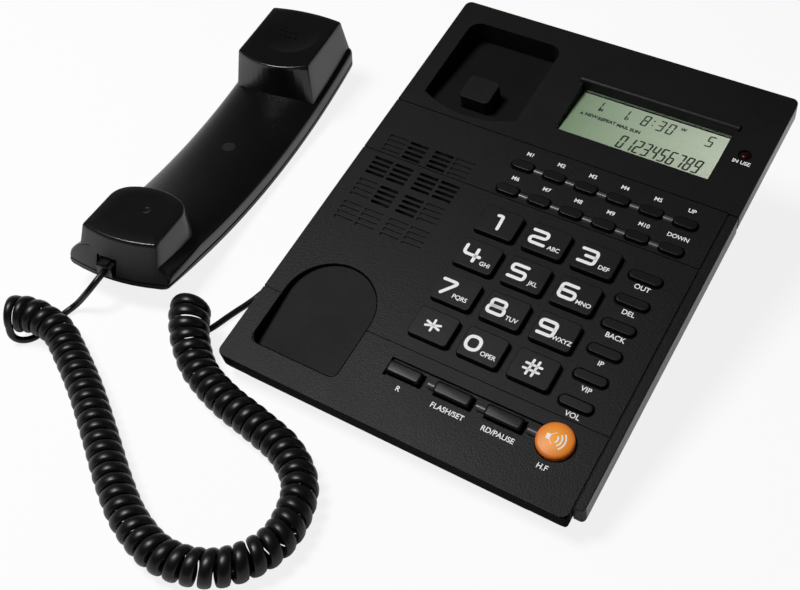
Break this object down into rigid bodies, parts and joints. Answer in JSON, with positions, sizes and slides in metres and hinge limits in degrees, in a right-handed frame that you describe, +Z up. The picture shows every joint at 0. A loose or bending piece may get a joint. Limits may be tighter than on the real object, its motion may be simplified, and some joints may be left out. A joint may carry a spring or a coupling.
{
  "type": "corded telephone",
  "caption": "Corded desk telephone: sloping base with push keys, display and hands-free button, and an arched handset lying beside it on a curly cord.",
  "frame": {"origin": "middle of the base and the handset in plan, on the table they stand on", "axes": "+X to the user's right, +Y away from the user, +Z up"},
  "size_m": [0.278, 0.2968, 0.0701],
  "materials": {
    "shell_black": "fine moulded grain, matte",
    "under_black": "matte",
    "key_black": "fine grain, satin",
    "button_black": "satin",
    "button_orange": "satin",
    "window_clear": "clear",
    "lcd_green": "smooth",
    "board_green": "solder mask",
    "mat_grey": "silicone",
    "capsule_grey": "satin",
    "socket_black": "smooth",
    "lamp_red": "clear tinted",
    "foot_rubber": "matte",
    "screw_steel": "zinc plated",
    "handset_black": "polished",
    "cord_black": "smooth PVC",
    "plug_clear": "clear"
  },
  "bodies": {
    "base": {"top_shell": "shell_black", "bottom_shell": "under_black", "side_rail": "shell_black", "display_window": "window_clear", "lcd_panel": "lcd_green", "main_board": "board_green", "keypad_mat": "mat_grey", "loudspeaker": "capsule_grey", "hook_switch": "board_green", "line_jack": "socket_black", "handset_jack": "socket_black", "in_use_lamp": "lamp_red", "rubber_feet": "foot_rubber", "case_screws": "screw_steel", "base_plug": "plug_clear"},
    "handset": {"handset_front": "handset_black", "handset_back": "handset_black", "earpiece": "capsule_grey", "mouthpiece": "capsule_grey", "handset_socket": "socket_black", "handset_screw": "screw_steel", "handset_plug": "plug_clear", "handset_lead": "cord_black", "curly_cord": "cord_black", "base_lead": "cord_black"},
    "hook": {"hook_plunger": "shell_black"},
    "key_1_body": {"key_1": "key_black"},
    "key_2_body": {"key_2": "key_black"},
    "key_3_body": {"key_3": "key_black"},
    "key_4_body": {"key_4": "key_black"},
    "key_5_body": {"key_5": "key_black"},
    "key_6_body": {"key_6": "key_black"},
    "key_7_body": {"key_7": "key_black"},
    "key_8_body": {"key_8": "key_black"},
    "key_9_body": {"key_9": "key_black"},
    "key_star_body": {"key_star": "key_black"},
    "key_0_body": {"key_0": "key_black"},
    "key_hash_body": {"key_hash": "key_black"},
    "memory_1_body": {"memory_1": "button_black"},
    "memory_2_body": {"memory_2": "button_black"},
    "memory_3_body": {"memory_3": "button_black"},
    "memory_4_body": {"memory_4": "button_black"},
    "memory_5_body": {"memory_5": "button_black"},
    "up_button_body": {"up_button": "button_black"},
    "memory_6_body": {"memory_6": "button_black"},
    "memory_7_body": {"memory_7": "button_black"},
    "memory_8_body": {"memory_8": "button_black"},
    "memory_9_body": {"memory_9": "button_black"},
    "memory_10_body": {"memory_10": "button_black"},
    "down_button_body": {"down_button": "button_black"},
    "out_button_body": {"out_button": "button_black"},
    "delete_button_body": {"delete_button": "button_black"},
    "back_button_body": {"back_button": "button_black"},
    "ip_button_body": {"ip_button": "button_black"},
    "vip_button_body": {"vip_button": "button_black"},
    "volume_button_body": {"volume_button": "button_black"},
    "recall_bar_body": {"recall_bar": "button_black"},
    "flash_bar_body": {"flash_bar": "button_black"},
    "redial_bar_body": {"redial_bar": "button_black"},
    "handsfree_button_body": {"handsfree_button": "button_orange"}
  },
  "joints": [
    {"name": "handset_lift", "type": "slide", "parent": "base", "child": "handset", "axis": [0, 0, 1], "range_m": [0, 0.1], "deforming": ["handset_lead", "curly_cord", "base_lead"]},
    {"name": "hook_press", "type": "slide", "parent": "base", "child": "hook", "axis": [0, 0.2588, -0.9659], "range_m": [0, 0.005], "stiffness_N_per_m": 120, "springref_m": -0.002},
    {"name": "key_1_press", "type": "slide", "parent": "base", "child": "key_1_body", "axis": [0, 0.2588, -0.9659], "range_m": [0, 0.0015], "stiffness_N_per_m": 400, "springref_m": -0.0006},
    {"name": "key_2_press", "type": "slide", "parent": "base", "child": "key_2_body", "axis": [0, 0.2588, -0.9659], "range_m": [0, 0.0015], "stiffness_N_per_m": 400, "springref_m": -0.0006},
    {"name": "key_3_press", "type": "slide", "parent": "base", "child": "key_3_body", "axis": [0, 0.2588, -0.9659], "range_m": [0, 0.0015], "stiffness_N_per_m": 400, "springref_m": -0.0006},
    {"name": "key_4_press", "type": "slide", "parent": "base", "child": "key_4_body", "axis": [0, 0.2588, -0.9659], "range_m": [0, 0.0015], "stiffness_N_per_m": 400, "springref_m": -0.0006},
    {"name": "key_5_press", "type": "slide", "parent": "base", "child": "key_5_body", "axis": [0, 0.2588, -0.9659], "range_m": [0, 0.0015], "stiffness_N_per_m": 400, "springref_m": -0.0006},
    {"name": "key_6_press", "type": "slide", "parent": "base", "child": "key_6_body", "axis": [0, 0.2588, -0.9659], "range_m": [0, 0.0015], "stiffness_N_per_m": 400, "springref_m": -0.0006},
    {"name": "key_7_press", "type": "slide", "parent": "base", "child": "key_7_body", "axis": [0, 0.2588, -0.9659], "range_m": [0, 0.0015], "stiffness_N_per_m": 400, "springref_m": -0.0006},
    {"name": "key_8_press", "type": "slide", "parent": "base", "child": "key_8_body", "axis": [0, 0.2588, -0.9659], "range_m": [0, 0.0015], "stiffness_N_per_m": 400, "springref_m": -0.0006},
    {"name": "key_9_press", "type": "slide", "parent": "base", "child": "key_9_body", "axis": [0, 0.2588, -0.9659], "range_m": [0, 0.0015], "stiffness_N_per_m": 400, "springref_m": -0.0006},
    {"name": "key_star_press", "type": "slide", "parent": "base", "child": "key_star_body", "axis": [0, 0.2588, -0.9659], "range_m": [0, 0.0015], "stiffness_N_per_m": 400, "springref_m": -0.0006},
    {"name": "key_0_press", "type": "slide", "parent": "base", "child": "key_0_body", "axis": [0, 0.2588, -0.9659], "range_m": [0, 0.0015], "stiffness_N_per_m": 400, "springref_m": -0.0006},
    {"name": "key_hash_press", "type": "slide", "parent": "base", "child": "key_hash_body", "axis": [0, 0.2588, -0.9659], "range_m": [0, 0.0015], "stiffness_N_per_m": 400, "springref_m": -0.0006},
    {"name": "memory_1_press", "type": "slide", "parent": "base", "child": "memory_1_body", "axis": [0, 0.2588, -0.9659], "range_m": [0, 0.0015], "stiffness_N_per_m": 400, "springref_m": -0.0006},
    {"name": "memory_2_press", "type": "slide", "parent": "base", "child": "memory_2_body", "axis": [0, 0.2588, -0.9659], "range_m": [0, 0.0015], "stiffness_N_per_m": 400, "springref_m": -0.0006},
    {"name": "memory_3_press", "type": "slide", "parent": "base", "child": "memory_3_body", "axis": [0, 0.2588, -0.9659], "range_m": [0, 0.0015], "stiffness_N_per_m": 400, "springref_m": -0.0006},
    {"name": "memory_4_press", "type": "slide", "parent": "base", "child": "memory_4_body", "axis": [0, 0.2588, -0.9659], "range_m": [0, 0.0015], "stiffness_N_per_m": 400, "springref_m": -0.0006},
    {"name": "memory_5_press", "type": "slide", "parent": "base", "child": "memory_5_body", "axis": [0, 0.2588, -0.9659], "range_m": [0, 0.0015], "stiffness_N_per_m": 400, "springref_m": -0.0006},
    {"name": "up_button_press", "type": "slide", "parent": "base", "child": "up_button_body", "axis": [0, 0.2588, -0.9659], "range_m": [0, 0.0015], "stiffness_N_per_m": 400, "springref_m": -0.0006},
    {"name": "memory_6_press", "type": "slide", "parent": "base", "child": "memory_6_body", "axis": [0, 0.2588, -0.9659], "range_m": [0, 0.0015], "stiffness_N_per_m": 400, "springref_m": -0.0006},
    {"name": "memory_7_press", "type": "slide", "parent": "base", "child": "memory_7_body", "axis": [0, 0.2588, -0.9659], "range_m": [0, 0.0015], "stiffness_N_per_m": 400, "springref_m": -0.0006},
    {"name": "memory_8_press", "type": "slide", "parent": "base", "child": "memory_8_body", "axis": [0, 0.2588, -0.9659], "range_m": [0, 0.0015], "stiffness_N_per_m": 400, "springref_m": -0.0006},
    {"name": "memory_9_press", "type": "slide", "parent": "base", "child": "memory_9_body", "axis": [0, 0.2588, -0.9659], "range_m": [0, 0.0015], "stiffness_N_per_m": 400, "springref_m": -0.0006},
    {"name": "memory_10_press", "type": "slide", "parent": "base", "child": "memory_10_body", "axis": [0, 0.2588, -0.9659], "range_m": [0, 0.0015], "stiffness_N_per_m": 400, "springref_m": -0.0006},
    {"name": "down_button_press", "type": "slide", "parent": "base", "child": "down_button_body", "axis": [0, 0.2588, -0.9659], "range_m": [0, 0.0015], "stiffness_N_per_m": 400, "springref_m": -0.0006},
    {"name": "out_button_press", "type": "slide", "parent": "base", "child": "out_button_body", "axis": [0, 0.2588, -0.9659], "range_m": [0, 0.0015], "stiffness_N_per_m": 400, "springref_m": -0.0006},
    {"name": "delete_button_press", "type": "slide", "parent": "base", "child": "delete_button_body", "axis": [0, 0.2588, -0.9659], "range_m": [0, 0.0015], "stiffness_N_per_m": 400, "springref_m": -0.0006},
    {"name": "back_button_press", "type": "slide", "parent": "base", "child": "back_button_body", "axis": [0, 0.2588, -0.9659], "range_m": [0, 0.0015], "stiffness_N_per_m": 400, "springref_m": -0.0006},
    {"name": "ip_button_press", "type": "slide", "parent": "base", "child": "ip_button_body", "axis": [0, 0.2588, -0.9659], "range_m": [0, 0.0015], "stiffness_N_per_m": 400, "springref_m": -0.0006},
    {"name": "vip_button_press", "type": "slide", "parent": "base", "child": "vip_button_body", "axis": [0, 0.2588, -0.9659], "range_m": [0, 0.0015], "stiffness_N_per_m": 400, "springref_m": -0.0006},
    {"name": "volume_button_press", "type": "slide", "parent": "base", "child": "volume_button_body", "axis": [0, 0.2588, -0.9659], "range_m": [0, 0.0015], "stiffness_N_per_m": 400, "springref_m": -0.0006},
    {"name": "recall_bar_press", "type": "slide", "parent": "base", "child": "recall_bar_body", "axis": [0, 0.2588, -0.9659], "range_m": [0, 0.0015], "stiffness_N_per_m": 400, "springref_m": -0.0006},
    {"name": "flash_bar_press", "type": "slide", "parent": "base", "child": "flash_bar_body", "axis": [0, 0.2588, -0.9659], "range_m": [0, 0.0015], "stiffness_N_per_m": 400, "springref_m": -0.0006},
    {"name": "redial_bar_press", "type": "slide", "parent": "base", "child": "redial_bar_body", "axis": [0, 0.2588, -0.9659], "range_m": [0, 0.0015], "stiffness_N_per_m": 400, "springref_m": -0.0006},
    {"name": "handsfree_button_press", "type": "slide", "parent": "base", "child": "handsfree_button_body", "axis": [0, 0.2588, -0.9659], "range_m": [0, 0.0015], "stiffness_N_per_m": 400, "springref_m": -0.0006}
  ]
}
